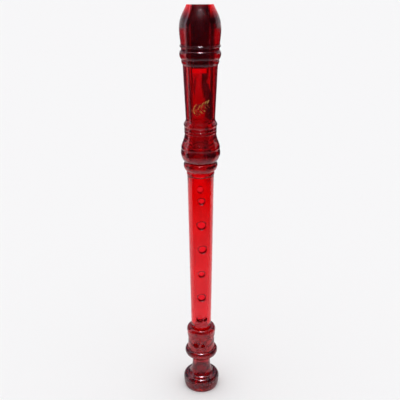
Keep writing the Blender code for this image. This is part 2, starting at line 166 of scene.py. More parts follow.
def bent_card(name, first, last, inner, outer, low, high, material):
    """A card bent round the recorder from a first to a last heading in degrees: its points run from
    an inner reach at a low height to an outer reach at a high one. The camera doesn't see it."""
    heading = np.radians(np.linspace(first, last, CARD_COLUMNS))
    round_it = np.column_stack([np.sin(heading), np.cos(heading)])
    near = np.column_stack([inner * round_it, np.full(CARD_COLUMNS, low)])
    far = np.column_stack([outer * round_it, np.full(CARD_COLUMNS, high)])
    i = np.arange(CARD_COLUMNS - 1)
    over = i + CARD_COLUMNS
    card = link_mesh(name, np.vstack([near, far]), np.column_stack([i, i + 1, over + 1, over]))
    card.data.materials.append(material)
    card.visible_camera = False
    card.visible_diffuse = False
    card.visible_shadow = False
    return card


def apron_paper(name, first, last):
    """Paper that goes from white to black between two distances from the recorder."""
    material = sheet_of_paper(name, (0.8, 0.8, 0.8), 0.9)
    tree = material.node_tree
    place = tree.nodes.new("ShaderNodeTexCoord")
    flat = tree.nodes.new("ShaderNodeVectorMath")
    flat.operation = "MULTIPLY"
    flat.inputs[1].default_value = (1.0, 1.0, 0.0)
    distance = tree.nodes.new("ShaderNodeVectorMath")
    distance.operation = "LENGTH"
    shade = tree.nodes.new("ShaderNodeValToRGB")
    shade.color_ramp.elements[0].position = first
    shade.color_ramp.elements[0].color = (0.86, 0.86, 0.86, 1.0)
    shade.color_ramp.elements[1].position = last
    shade.color_ramp.elements[1].color = (0.03, 0.03, 0.03, 1.0)
    tree.links.new(place.outputs["Object"], flat.inputs[0])
    tree.links.new(flat.outputs["Vector"], distance.inputs[0])
    tree.links.new(distance.outputs["Value"], shade.inputs["Fac"])
    tree.links.new(shade.outputs["Color"], tree.nodes["Principled BSDF"].inputs["Base Color"])
    return material


black_card = sheet_of_paper("black_card", (0.05, 0.035, 0.06), 0.9)
grey_card = sheet_of_paper("grey_card", (0.14, 0.11, 0.16), 0.9)
apron_card = apron_paper("apron_paper", APRON_START, APRON_END)
bent_card("flag_left", -80, -26, FLAG_REACH, FLAG_REACH, 0.0, FLAG_HEIGHT, grey_card)
bent_card("flag_right", 10, 100, FLAG_REACH, FLAG_REACH, 0.0, FLAG_HEIGHT, black_card)
apron = bent_card("apron", 80, 262, APRON_START, SCREEN_REACH, 0.3 * MM, 0.4 * MM, apron_card)
screen = bent_card("screen", 80, 262, SCREEN_REACH, SCREEN_REACH, 0.0, SCREEN_HEIGHT, black_card)
apron.visible_transmission = False
screen.visible_transmission = False

# ---------------------------------------------------------------------------------------------
# Foot joint. One moulding of clear red styrene: a socket with a rolled collar, the last double
# hole, a ring, a neck and a bell. It is turned so that its holes suit the little finger.
# ---------------------------------------------------------------------------------------------
AROUND = 160
HEIGHTS = {node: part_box(node) for node in ("foot_joint", "middle_joint", "block", "head_joint")}
SEAT_GAP = 0.3 * MM
FIT_GAP = 0.3 * MM
FOOT_TENON_LENGTH = 11.0 * MM
FOOT_TENON_RADIUS = 7.5 * MM
FOOT_WALL = 3.85 * MM
FOOT_BORE_TOP_RADIUS = 5.6 * MM
FOOT_BORE_END_RADIUS = 5.2 * MM
BELL_MOUTH_RADIUS = 6.6 * MM
BELL_MOUTH_DEPTH = 3.0 * MM
FOOT_BODY_LENGTH = 12.4 * MM
NECK_LENGTH = 16.6 * MM
BELL_BAND_HEIGHT = 6.8 * MM
COLLAR_SWELL = 0.7 * MM
COLLAR_BEVEL_HEIGHT = 3.4 * MM
COLLAR_HEIGHT = 8.6 * MM
FOOT_RING_HEIGHT = 7.5 * MM
FOOT_RING_SWELL = 1.65 * MM
NECK_RADIUS = 7.7 * MM
NECK_BEAD_SWELL = 1.1 * MM
NECK_BEAD_HEIGHT = 2.4 * MM
BELL_RADIUS = 15.5 * MM
EDGE = 0.25 * MM  # the small round on moulded corners
COLLAR_TAPER = 1.45 * MM
NECK_FLARE = 1.8 * MM
NECK_BEAD_DROP = 1.1 * MM
FOOT_TURN = math.radians(-6.2)
FOOT_LARGE_RADIUS = 2.4 * MM
FOOT_SMALL_RADIUS = 1.6 * MM
FOOT_WEB = 1.9 * MM
FOOT_HOLE_BELOW_SOCKET = 3.7 * MM


def bead(upper, lower, swell, count=14):
    """Half an ellipse: the straight line from upper to lower, plus swell times the sine of the turn."""
    turn = np.linspace(0.0, np.pi, count)[:, None]
    share = (1 - np.cos(turn)) / 2
    upper, lower = np.array(upper), np.array(lower)
    return upper + (lower - upper) * share + np.array((swell, 0.0)) * np.sin(turn)


def sweep(start, start_pull, end_pull, end, count=14):
    """Cubic Bezier: the four points weighted by the Bernstein polynomials of t from 0 to 1."""
    t = np.linspace(0.0, 1.0, count)[:, None]
    a, b, c, d = (np.array(p) for p in (start, start_pull, end_pull, end))
    return (1 - t) ** 3 * a + 3 * t * (1 - t) ** 2 * b + 3 * t * t * (1 - t) * c + t**3 * d


def straight(start, end, pitch=1.0 * MM):
    """Points at an even pitch along the line from start to end."""
    start, end = np.array(start), np.array(end)
    count = max(2, int(np.ceil(np.linalg.norm(end - start) / pitch)) + 1)
    return start + (end - start) * np.linspace(0.0, 1.0, count)[:, None]


def corner(before, at, after, radius=EDGE, count=4):
    """A quarter round at a corner: a Bezier whose two pulls lie on the corner itself."""
    before, at, after = (np.array(p, float) for p in (before, at, after))
    start = at + (before - at) / np.linalg.norm(before - at) * radius
    end = at + (after - at) / np.linalg.norm(after - at) * radius
    return sweep(start, start + (at - start) * 0.55, end + (at - end) * 0.55, end, count)


def without_repeats(outline):
    """The outline's points, each at least 0.03 mm from the one before it."""
    step = np.linalg.norm(outline - np.roll(outline, 1, axis=0), axis=1)
    return outline[step > 0.03 * MM]


def turn_outline(outline, first_angle=0.0, around=AROUND):
    """Point (i, j) is outline point i turned by angle j about the bore: (r cos a, r sin a, z)."""
    angle = first_angle + np.arange(around) * (2 * np.pi / around)
    r, z = outline[:, 0][:, None], outline[:, 1][:, None]
    return np.stack(
        [r * np.cos(angle), r * np.sin(angle), z * np.ones_like(angle)], axis=-1
    )


def grid_faces(rows, around):
    """Quads between each outline point and the next, closed both ways, as (row, column, 4)."""
    i = np.arange(rows)[:, None]
    j = np.arange(around)[None, :]
    down, on = (i + 1) % rows, (j + 1) % around
    return np.stack([i * around + j, down * around + j, down * around + on, i * around + on], axis=-1)


def radius_at(height, profile):
    """The outline's radius at a height, read along one of its two walls."""
    order = np.argsort(profile[:, 1])
    return np.interp(height, profile[order, 1], profile[order, 0])


FIRST_WALL_RING = 6  # the first rings of a throat lie on the outside, the last in the bore
PAST_WALL_RINGS = 20


class TurnedPiece:
    """A turned wall with finger holes. The wall is a grid, and each hole is a throat of rings that
    joins a window in the outer wall to the same window in the bore."""

    def __init__(self, outer, bore, first_angle=0.0):
        self.outer, self.bore = outer, bore
        self.outline = np.vstack([outer, bore])
        self.first_angle = first_angle
        self.points = [turn_outline(self.outline, first_angle).reshape(-1, 3)]
        self.faces = grid_faces(len(self.outline), AROUND)
        self.keep = np.ones(self.faces.shape[:2], bool)
        self.throats = []
        self.drilled_and_painted_shade = []
        self.count = len(self.points[0])

    def window(self, rows, low, high, first, last):
        """The grid points round a window in turn: down its first side, along, up and back."""
        heights = self.outline[rows, 1]
        inside = rows[(heights >= low) & (heights <= high)]
        inside = inside[np.argsort(-self.outline[inside, 1])]
        columns = np.arange(first, last + 1) % AROUND
        down = inside * AROUND + columns[0]
        along = inside[-1] * AROUND + columns
        up = inside[::-1] * AROUND + columns[-1]
        back = inside[0] * AROUND + columns[::-1]
        ring = np.concatenate([down[:-1], along[:-1], up[:-1], back[:-1]])
        between = np.arange(min(inside[0], inside[-1]), max(inside[0], inside[-1]))
        self.keep[between[:, None], columns[None, :-1]] = False
        return ring

    def hole(self, height, turn, side, radius, first, last, margin, rim, inner_side, inner_radius):
        """Drills a round hole. Seen across its axis a ring's points go from the window's edge to the
        circle, round the rim, down the wall, round the inner rim and out to the window in the bore."""
        out = np.array((math.sin(turn), -math.cos(turn)))
        across = np.array((math.cos(turn), math.sin(turn)))
        rows = np.arange(len(self.outline))
        low, high = height - radius - margin, height + radius + margin
        outer_ring = self.window(rows[: len(self.outer)], low, high, first, last)
        bore_ring = self.window(rows[len(self.outer) :], low, high, first, last)
        grid = self.points[0]
        outer_flat = np.column_stack([grid[outer_ring, :2] @ across, grid[outer_ring, 2]])
        bore_flat = np.column_stack([grid[bore_ring, :2] @ across, grid[bore_ring, 2]])
        centre, inner_centre = np.array((side, height)), np.array((inner_side, height))
        start = np.arctan2(*(outer_flat - centre).T[::-1])
        drift = np.arctan2(*(bore_flat - inner_centre).T[::-1]) - start
        drift = (drift + np.pi) % (2 * np.pi) - np.pi

        def circle(share, reach):
            angle = start + drift * share
            middle = centre + (inner_centre - centre) * share
            return middle + np.column_stack([np.cos(angle), np.sin(angle)]) * reach

        def on_wall(flat, profile):
            return np.sqrt(np.maximum(radius_at(flat[:, 1], profile) ** 2 - flat[:, 0] ** 2, 0.0))

        rings = []
        for share in np.linspace(0.0, 1.0, 5)[1:]:
            flat = outer_flat + (circle(0.0, radius + rim) - outer_flat) * share
            rings.append((flat, on_wall(flat, self.outer)))
        for bend in np.linspace(0.0, np.pi / 2, 6)[1:]:
            flat = circle(0.0, radius + rim * (1 - math.sin(bend)))
            rings.append((flat, on_wall(flat, self.outer) - rim * (1 - math.cos(bend))))
        top = rings[-1][1]
        inner_rim = 0.5 * rim
        bottom = on_wall(circle(1.0, inner_radius), self.bore) + inner_rim
        for share in np.linspace(0.0, 1.0, 8)[1:]:
            flat = circle(share, radius + (inner_radius - radius) * share)
            rings.append((flat, top + (bottom - top) * share))
        for bend in np.linspace(0.0, np.pi / 2, 4)[1:]:
            flat = circle(1.0, inner_radius + inner_rim * (1 - math.cos(bend)))
            rings.append((flat, on_wall(flat, self.bore) + inner_rim * (1 - math.sin(bend))))
        for share in np.linspace(0.0, 1.0, 5)[1:-1]:
            flat = circle(1.0, inner_radius + inner_rim)
            flat = flat + (bore_flat - flat) * share
            rings.append((flat, on_wall(flat, self.bore)))
        indices = [outer_ring]
        for flat, reach in rings:
            place = flat[:, :1] * across + reach[:, None] * out
            self.points.append(np.column_stack([place, flat[:, 1]]))
            indices.append(np.arange(len(flat)) + self.count)
            if FIRST_WALL_RING < len(indices) < PAST_WALL_RINGS:
                self.drilled_and_painted_shade.append(indices[-1])
            self.count += len(flat)
        indices.append(bore_ring)
        for a, b in zip(indices[:-1], indices[1:]):
            self.throats.append(np.stack([a, np.roll(a, -1), np.roll(b, -1), b], axis=-1))

    def column(self, height, turn, side, inner_side):
        """The grid column past both the outer side and the inner side, as seen from the bore."""
        outer = math.asin(side / float(radius_at(height, self.outer)))
        inner = math.asin(inner_side / float(radius_at(height, self.bore)))
        angle = max(outer, inner) if side > 0 else min(outer, inner)
        at = (turn - math.pi / 2 + angle - self.first_angle) / (2 * math.pi / AROUND)
        return math.ceil(at) if side > 0 else math.floor(at)

    def single(self, height, turn, radius, margin=1.3 * MM, rim=0.45 * MM):
        """One straight hole, in a window that closes on the nearest grid lines."""
        reach, inner_reach = radius + margin, radius + 0.6 * MM
        first = self.column(height, turn, -reach, -inner_reach)
        last = self.column(height, turn, reach, inner_reach)
        self.hole(height, turn, 0.0, radius, first, last, margin, rim, 0.0, radius)

    def pair(self, height, turn, large, small, web, margin, rim, drawn_in=0.75, taper=0.78):
        """Two holes either side of a web, whose middle is grid column 0. They lean in to the bore."""
        for radius, way in ((large, -1), (small, 1)):
            side = way * (radius + web / 2)
            inner_side, inner_radius = side * drawn_in, radius * taper
            end = self.column(
                height, turn, side + way * (radius + margin), inner_side + way * (inner_radius + 0.4 * MM)
            )
            first, last = min(0, end), max(0, end)
            room = margin + large - radius
            self.hole(height, turn, side, radius, first, last, room, rim, inner_side, inner_radius)

    def finish(self, name):
        faces = np.vstack([self.faces[self.keep].reshape(-1, 4), *self.throats])
        points = np.vstack(self.points)
        used = np.zeros(len(points), bool)
        used[faces] = True
        renumber = np.cumsum(used) - 1
        piece = link_mesh(name, points[used], renumber[faces])
        piece.data.set_sharp_from_angle(angle=math.radians(50))
        # the hole walls' mask, which the material makes rougher and darkens with painted shade
        drilled_and_painted_shade = np.zeros(len(points))
        drilled_and_painted_shade[np.concatenate(self.drilled_and_painted_shade)] = 1.0
        wall = piece.data.attributes.new("drilled_and_painted_shade", "FLOAT", "POINT")
        wall.data.foreach_set("value", drilled_and_painted_shade[used].astype(np.float32))
        return piece


foot_high = HEIGHTS["foot_joint"][1][2]
foot_socket_radius = FOOT_TENON_RADIUS + FIT_GAP
foot_radius = foot_socket_radius + FOOT_WALL
foot_socket_low = foot_high - FOOT_TENON_LENGTH - SEAT_GAP
collar_low = foot_high - COLLAR_HEIGHT
foot_ring_high = collar_low - FOOT_BODY_LENGTH
neck_high = foot_ring_high - FOOT_RING_HEIGHT
neck_low = neck_high - NECK_LENGTH


def foot_outer():
    """The foot's outside from the collar's rim down to the bell's flat end, as (radius, height)."""
    radius = foot_radius
    collar = radius + COLLAR_SWELL
    edge = foot_high - COLLAR_BEVEL_HEIGHT
    bead_high = neck_high - NECK_BEAD_DROP
    bead_low = bead_high - NECK_BEAD_HEIGHT
    neck_bead = NECK_RADIUS + 0.3 * MM
    low = BELL_BAND_HEIGHT
    return np.vstack([
        sweep(
            (collar - COLLAR_TAPER, foot_high),
            (collar - 0.6 * MM, foot_high - 0.6 * MM),
            (collar, edge + 1.6 * MM),
            (collar, edge),
        ),
        sweep(
            (collar, edge),
            (collar, edge - 1.0 * MM),
            (radius + 0.25 * MM, edge - 1.4 * MM),
            (radius + 0.25 * MM, collar_low + 2.4 * MM),
            9,
        ),
        bead((radius + 0.1 * MM, collar_low + 1.8 * MM), (radius - 0.2 * MM, collar_low), 0.3 * MM, 9),
        sweep(
            (radius - 0.3 * MM, collar_low - 0.4 * MM),
            (radius - 0.35 * MM, collar_low - 0.5 * FOOT_BODY_LENGTH),
            (radius - 0.1 * MM, foot_ring_high + 2.0 * MM),
            (radius, foot_ring_high),
            28,
        ),
        bead(
            (radius, foot_ring_high), (NECK_RADIUS + 2.6 * MM, neck_high), FOOT_RING_SWELL + 1.3 * MM, 26
        ),
        bead((neck_bead, bead_high), (neck_bead, bead_low), NECK_BEAD_SWELL - 0.3 * MM),
        sweep(
            (NECK_RADIUS, bead_low - 0.3 * MM),
            (NECK_RADIUS - 0.3 * MM, bead_low - 5.0 * MM),
            (NECK_RADIUS + 0.6 * MM, neck_low + 2.6 * MM),
            (NECK_RADIUS + NECK_FLARE, neck_low),
            22,
        ),
        sweep(
            (NECK_RADIUS + NECK_FLARE, neck_low),
            (NECK_RADIUS + 2.6 * MM, neck_low - 1.4 * MM),
            (BELL_RADIUS - 3.8 * MM, neck_low - 1.9 * MM),
            (BELL_RADIUS - 2.9 * MM, neck_low - 2.0 * MM),
            12,
        ),
        sweep(
            (BELL_RADIUS - 2.9 * MM, neck_low - 2.0 * MM),
            (BELL_RADIUS - 0.9 * MM, neck_low - 2.2 * MM),
            (BELL_RADIUS, neck_low - 4.4 * MM),
            (BELL_RADIUS, low + 1.4 * MM),
            20,
        ),
        sweep(
            (BELL_RADIUS, low + 1.4 * MM),
            (BELL_RADIUS, low + 0.6 * MM),
            (BELL_RADIUS - 0.15 * MM, low + 0.2 * MM),
            (BELL_RADIUS - 0.45 * MM, low),
            8,
        ),
        sweep(
            (BELL_RADIUS - 0.25 * MM, low - 0.5 * MM),
            (BELL_RADIUS - 0.3 * MM, 0.5 * low),
            (BELL_RADIUS - 0.7 * MM, 1.4 * MM),
            (BELL_RADIUS - 1.3 * MM, 0.0),
            18,
        ),
    ])


def foot_bore():
    """The foot's inside from the bell's mouth up through the bore and the socket to the rim."""
    step = foot_socket_low
    return np.vstack([
        sweep(
            (BELL_MOUTH_RADIUS, 0.0),
            (BELL_MOUTH_RADIUS - 0.7 * MM, 0.25 * BELL_MOUTH_DEPTH),
            (FOOT_BORE_END_RADIUS, 0.6 * BELL_MOUTH_DEPTH),
            (FOOT_BORE_END_RADIUS, BELL_MOUTH_DEPTH),
            10,
        ),
        straight((FOOT_BORE_END_RADIUS, BELL_MOUTH_DEPTH), (FOOT_BORE_TOP_RADIUS, step - EDGE)),
        corner(
            (FOOT_BORE_TOP_RADIUS, step - 1.0), (FOOT_BORE_TOP_RADIUS, step), (foot_socket_radius, step)
        ),
        corner((FOOT_BORE_TOP_RADIUS, step), (foot_socket_radius, step), (foot_socket_radius, 1.0)),
        straight((foot_socket_radius, step + EDGE), (foot_socket_radius, foot_high - 0.5 * MM)),
        sweep(
            (foot_socket_radius, foot_high - 0.5 * MM),
            (foot_socket_radius, foot_high - 0.2 * MM),
            (foot_socket_radius + 0.2 * MM, foot_high),
            (foot_socket_radius + 0.5 * MM, foot_high),
            5,
        ),
    ])


def level_rows(outline, low, high, pitch):
    """The outline with its points between two heights replaced by points at even heights, so that a
    window there has the same rows on both walls. The radius at each comes from the outline."""
    rising = outline[-1, 1] > outline[0, 1]
    inside = (outline[:, 1] > low) & (outline[:, 1] < high)
    levels = np.linspace(low, high, int(round((high - low) / pitch)) + 1)
    levels = levels if rising else levels[::-1]
    fresh = np.column_stack([radius_at(levels, outline), levels])
    first = int(np.argmax(inside))
    last = len(outline) - int(np.argmax(inside[::-1]))
    return np.vstack([outline[:first], fresh, outline[last:]])


def clear_red_plastic(name, tints_with_painted_light, depth, roughness, ripple_strength, glow=None):
    """Styrene tinted in the mass. Light is taken off by the depth of plastic it crosses. Over that, the
    base colour is painted by height from (height, colour) stops: painted shade makes thick mouldings
    darker and painted light makes some bands lighter, and the hole walls are darkened by painted shade.
    The gloss is broken by fine rubbed scratches along the bore, handling haze and a slight moulding
    ripple. The glow is painted light, an emission that stands in for light piped along a wall, and shows
    above a height and past a reach to each side."""
    material = bpy.data.materials.new(name)
    material.use_nodes = True
    tree = material.node_tree
    nodes, links = tree.nodes, tree.links
    shader = nodes["Principled BSDF"]
    shader.inputs["Transmission Weight"].default_value = 1.0
    shader.inputs["IOR"].default_value = 1.52
    shader.inputs["Specular Tint"].default_value = (1.0, 0.84, 0.97, 1.0)

    where = nodes.new("ShaderNodeTexCoord")

    def noise(scale, stretch, detail, distortion=0.0):
        turn = nodes.new("ShaderNodeMapping")
        turn.inputs["Scale"].default_value = (1.0, 1.0, stretch)
        links.new(where.outputs["Object"], turn.inputs["Vector"])
        cloud = nodes.new("ShaderNodeTexNoise")
        cloud.inputs["Scale"].default_value = scale
        cloud.inputs["Detail"].default_value = detail
        cloud.inputs["Distortion"].default_value = distortion
        links.new(turn.outputs["Vector"], cloud.inputs["Vector"])
        return cloud.outputs["Fac"]

    def ramp(value, stops):
        blend = nodes.new("ShaderNodeValToRGB")
        elements = blend.color_ramp.elements
        while len(elements) < len(stops):
            elements.new(0.5)
        for element, (position, color) in zip(elements, stops):
            element.position = position
            element.color = (*color, 1.0)
        links.new(value, blend.inputs["Fac"])
        return blend.outputs["Color"]

    def math_node(operation, first, second):
        node = nodes.new("ShaderNodeMath")
        node.operation = operation
        for socket, value in zip(node.inputs, (first, second)):
            if isinstance(value, float):
                socket.default_value = value
            else:
                links.new(value, socket)
        return node.outputs["Value"]

    # painted light and shade: the base colour follows the height stops, darker where a moulding is thick
    height = nodes.new("ShaderNodeSeparateXYZ")
    links.new(where.outputs["Object"], height.inputs["Vector"])
    low, high = tints_with_painted_light[0][0], tints_with_painted_light[-1][0]
    span = math_node("DIVIDE", math_node("SUBTRACT", height.outputs["Z"], low), high - low)
    flow = noise(scale=60.0, stretch=0.5, detail=3.0, distortion=0.8)
    wander = math_node("MULTIPLY", math_node("SUBTRACT", flow, 0.5), 0.02)
    along = math_node("ADD", span, wander)
    tint_with_painted_light = ramp(along, [((at - low) / (high - low), color) for at, color in tints_with_painted_light])
    streak = nodes.new("ShaderNodeMix")
    streak.data_type = "RGBA"
    streak.blend_type = "MULTIPLY"
    streak.inputs["Factor"].default_value = 1.0
    links.new(tint_with_painted_light, streak.inputs["A"])
    links.new(ramp(flow, [(0.3, (0.86, 0.8, 0.82)), (0.65, (1.0, 1.0, 1.0))]), streak.inputs["B"])
    # The hole walls' mask: the walls are made rougher, and painted shade darkens their colour in place of the
    # shade inside the holes.
    wall = nodes.new("ShaderNodeAttribute")
    wall.attribute_name = "drilled_and_painted_shade"
    drilled_and_painted_shade = nodes.new("ShaderNodeMix")
    drilled_and_painted_shade.data_type = "RGBA"
    drilled_and_painted_shade.blend_type = "MULTIPLY"
    drilled_and_painted_shade.inputs["B"].default_value = (0.30, 0.08, 0.10, 1.0)
    links.new(wall.outputs["Fac"], drilled_and_painted_shade.inputs["Factor"])
    links.new(streak.outputs["Result"], drilled_and_painted_shade.inputs["A"])
    links.new(drilled_and_painted_shade.outputs["Result"], shader.inputs["Base Color"])

    if glow:
        rise = [((glow["from"] - low) / (high - low), (0.0,) * 3), (1.0, (1.0,) * 3)]
        sideways = math_node("ABSOLUTE", height.outputs["X"], 0.0)
        past = math_node("GREATER_THAN", sideways, glow["past"])
        piped = math_node("MULTIPLY", ramp(along, rise), past)
        shader.inputs["Emission Color"].default_value = glow["color"]
        links.new(math_node("MULTIPLY", piped, glow["strength"]), shader.inputs["Emission Strength"])

    haze = noise(scale=95.0, stretch=0.6, detail=5.0, distortion=0.3)
    scratch = noise(scale=900.0, stretch=0.06, detail=2.0)
    dull = roughness + 0.09
    haze_level = ramp(haze, [(0.42, (roughness,) * 3), (0.72, (dull,) * 3)])
    scratch_level = ramp(scratch, [(0.6, (0.0,) * 3), (0.72, (0.10,) * 3)])
    finish = math_node("ADD", haze_level, scratch_level)
    finish = math_node("ADD", finish, math_node("MULTIPLY", wall.outputs["Fac"], 0.25))
    links.new(finish, shader.inputs["Roughness"])

    ripple = nodes.new("ShaderNodeBump")
    ripple.inputs["Strength"].default_value = ripple_strength
    ripple.inputs["Distance"].default_value = 0.12 * MM
    links.new(noise(scale=140.0, stretch=0.4, detail=2.0), ripple.inputs["Height"])
    scuff = nodes.new("ShaderNodeBump")
    scuff.inputs["Strength"].default_value = 0.12
    scuff.inputs["Distance"].default_value = 0.01 * MM
    links.new(scratch, scuff.inputs["Height"])
    links.new(ripple.outputs["Normal"], scuff.inputs["Normal"])
    links.new(scuff.outputs["Normal"], shader.inputs["Normal"])

    absorb = nodes.new("ShaderNodeVolumeAbsorption")
    absorb.inputs["Color"].default_value = (*depth[0], 1.0)
    absorb.inputs["Density"].default_value = depth[1]
    links.new(absorb.outputs["Volume"], nodes["Material Output"].inputs["Volume"])
    return material


CLEAR_DEPTH = ((0.98, 0.02, 0.22), 1000.0)
THIN_DEPTH = ((0.975, 0.03, 0.14), 1000.0)
THICK_DEPTH = ((0.965, 0.02, 0.30), 1000.0)
# BRIGHT is the clear red itself. The colours after it are painted shade, darker where a moulding is thicker.
BRIGHT = (1.0, 0.35, 0.45)
DEEP_PAINTED_SHADE = (0.58, 0.09, 0.22)
MAROON_PAINTED_SHADE = (0.69, 0.12, 0.28)
BASE_PAINTED_SHADE = (0.46, 0.08, 0.22)
COLLAR_PAINTED_SHADE = (0.76, 0.17, 0.32)
# Painted shade on the foot: its colour darkens from the collar down to the bell's flat end.
foot_red = clear_red_plastic(
    "clear_red_foot",
    [(0.0, BASE_PAINTED_SHADE), (BELL_BAND_HEIGHT, DEEP_PAINTED_SHADE), (neck_low, MAROON_PAINTED_SHADE), (foot_high, COLLAR_PAINTED_SHADE)],
    THICK_DEPTH,
    roughness=0.15,
    ripple_strength=0.05,
)

foot_hole_height = foot_socket_low + SEAT_GAP - FOOT_HOLE_BELOW_SOCKET
# where the walls have even rows: their lowest and highest height, and their pitch
foot_zone = (foot_hole_height - 4.8 * MM, foot_socket_low - 0.2 * MM, 0.4 * MM)
foot = TurnedPiece(
    without_repeats(level_rows(foot_outer(), *foot_zone)),
    without_repeats(level_rows(foot_bore(), *foot_zone)),
    FOOT_TURN - math.pi / 2,
)
foot.pair(
    foot_hole_height,
    FOOT_TURN,
    FOOT_LARGE_RADIUS,
    FOOT_SMALL_RADIUS,
    FOOT_WEB,
    margin=0.75 * MM,
    rim=0.4 * MM,
)
foot_piece = foot.finish("foot_joint_moulding")
foot_piece.data.materials.append(foot_red)
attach(foot_piece, "foot")
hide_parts("foot_joint")

# ---------------------------------------------------------------------------------------------
# Middle joint. A long conical tube of the same clear red, with a tenon at each end. The thumb hole
# is behind, five single holes and a double one are in front, drilled with rounded edges.
# ---------------------------------------------------------------------------------------------
HEAD_TENON_LENGTH = 22.0 * MM
HEAD_TENON_RADIUS = 8.6 * MM
TENON_CHAMFER = 0.5 * MM
TENON_GROOVE_DEPTH = 0.22 * MM
TENON_GROOVE_HEIGHT = 1.3 * MM
TUBE_TOP_RADIUS = 10.55 * MM
TUBE_END_RADIUS = 8.45 * MM
MIDDLE_BORE_TOP_RADIUS = 6.7 * MM
MIDDLE_BORE_END_RADIUS = 5.6 * MM
MIDDLE_TURN = math.radians(4.0)
THUMB_HOLE = (0.107, 2.9 * MM, math.pi)  # share of the tube below its shoulder, radius, turn
FINGER_HOLES = (
    (0.141, 2.6 * MM, 0.0),
    (0.293, 3.4 * MM, 0.0),
    (0.449, 3.2 * MM, math.radians(6.0)),
    (0.613, 2.6 * MM, 0.0),
    (0.775, 3.15 * MM, 0.0),
)
DOUBLE_HOLE_SHARE = 0.930
DOUBLE_TURN = math.radians(11.5)
DOUBLE_LARGE_RADIUS = 2.6 * MM
DOUBLE_SMALL_RADIUS = 1.75 * MM
DOUBLE_WEB = 0.6 * MM

tenon_low = HEIGHTS["middle_joint"][0][2]
tenon_high = HEIGHTS["middle_joint"][1][2]
tube_low = foot_high + SEAT_GAP
tube_high = tenon_high - HEAD_TENON_LENGTH
tube_length = tube_high - tube_low


def groove(radius, height):
    """A shallow greased groove in a tenon: half an ellipse cut in by its depth."""
    half = TENON_GROOVE_HEIGHT / 2
    return bead((radius, height + half), (radius, height - half), -TENON_GROOVE_DEPTH, 9)


def middle_outer():
    """The middle joint's outside from its upper tenon's end, down the cone, to its lower tenon's end."""
    upper, lower = HEAD_TENON_RADIUS, FOOT_TENON_RADIUS
    chamfer = TENON_CHAMFER
    return np.vstack([
        corner(
            (upper - chamfer - 1.0, tenon_high),
            (upper - chamfer, tenon_high),
            (upper, tenon_high - chamfer),
            0.15 * MM,
        ),
        straight((upper, tenon_high - chamfer), (upper, tube_high + 17.0 * MM), 0.8 * MM),
        groove(upper, tube_high + 15.5 * MM),
        straight((upper, tube_high + 14.0 * MM), (upper, tube_high + 4.0 * MM)),
        groove(upper, tube_high + 2.5 * MM),
        corner((upper, tube_high + 1.0), (upper, tube_high), (TUBE_TOP_RADIUS, tube_high), 0.15 * MM),
        corner(
            (upper, tube_high), (TUBE_TOP_RADIUS, tube_high), (TUBE_TOP_RADIUS, tube_high - 1.0), 0.3 * MM, 6
        ),
        straight((TUBE_TOP_RADIUS, tube_high - 0.5 * MM), (TUBE_END_RADIUS, tube_low + 0.5 * MM)),
        corner(
            (TUBE_END_RADIUS, tube_low + 1.0), (TUBE_END_RADIUS, tube_low), (lower, tube_low), 0.3 * MM, 6
        ),
        corner((TUBE_END_RADIUS, tube_low), (lower, tube_low), (lower, tube_low - 1.0), 0.12 * MM),
        groove(lower, tube_low - 1.9 * MM),
        straight((lower, tube_low - 3.0 * MM), (lower, tenon_low + chamfer)),
        straight((lower - chamfer, tenon_low), (lower - chamfer - 0.4 * MM, tenon_low), 0.3 * MM),
    ])


def middle_bore():
    """The bore, a straight cone from the lower tenon's end up to the upper tenon's end."""
    low, high = MIDDLE_BORE_END_RADIUS, MIDDLE_BORE_TOP_RADIUS
    return np.vstack([
        corner((low + 1.0, tenon_low), (low, tenon_low), (low, tenon_low + 1.0)),
        straight((low, tenon_low + 0.5 * MM), (high, tenon_high - 0.5 * MM)),
        corner((high, tenon_high - 1.0), (high, tenon_high), (high + 1.0, tenon_high)),
    ])


middle_zone = (tube_low + 1.0 * MM, tube_high - 1.0 * MM, 0.9 * MM)
middle = TurnedPiece(
    without_repeats(level_rows(middle_outer(), *middle_zone)),
    without_repeats(level_rows(middle_bore(), *middle_zone)),
    DOUBLE_TURN - math.pi / 2,
)
for share, radius, turn in (THUMB_HOLE, *FINGER_HOLES):
    middle.single(tube_high - share * tube_length, MIDDLE_TURN + turn, radius)
middle.pair(
    tube_high - DOUBLE_HOLE_SHARE * tube_length,
    DOUBLE_TURN,
    DOUBLE_LARGE_RADIUS,
    DOUBLE_SMALL_RADIUS,
    DOUBLE_WEB,
    margin=1.2 * MM,
    rim=0.24 * MM,
)
middle_piece = middle.finish("middle_joint_moulding")
middle_red = clear_red_plastic(
    "clear_red_middle",
    [(tube_low, BRIGHT), (tube_high, BRIGHT)],
    THIN_DEPTH,
    roughness=0.05,
    ripple_strength=0.18,
)
middle_piece.data.materials.append(middle_red)
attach(middle_piece, "middle")
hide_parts("middle_joint")

# ---------------------------------------------------------------------------------------------
# Block. A denser, darker red plug that closes the beak behind the windway. It is pressed in from
# the tip, its flat front is the windway's floor, and its back is cut to the beak's hollow.
# ---------------------------------------------------------------------------------------------
HEAD_BORE_RADIUS = 7.0 * MM
WINDOW_HALF = 6.0 * MM
TIP_RADIUS = 10.2 * MM
TIP_THICKNESS = 7.4 * MM
BEAK_RADIUS = 15.5 * MM
BEAK_CUT_LENGTH = 23.0 * MM
BEAK_CUT_RADIUS = 46.0 * MM
TIP_ROUND = 0.5 * MM
BLOCK_CHAMFER = 0.6 * MM
PRESS_FIT = 0.02 * MM  # how far the plug bites into the beak's wall
TIP_EASE = 0.25 * MM  # how far it stays clear of the wall near the tip
TIP_EASE_LENGTH = 7.0 * MM
CUTTER_REACH = 20.0 * MM
BLOCK_PAST_TIP = 3.0 * MM
BLOCK_END_RINGS = 7
BLOCK_WALL_RINGS = 40

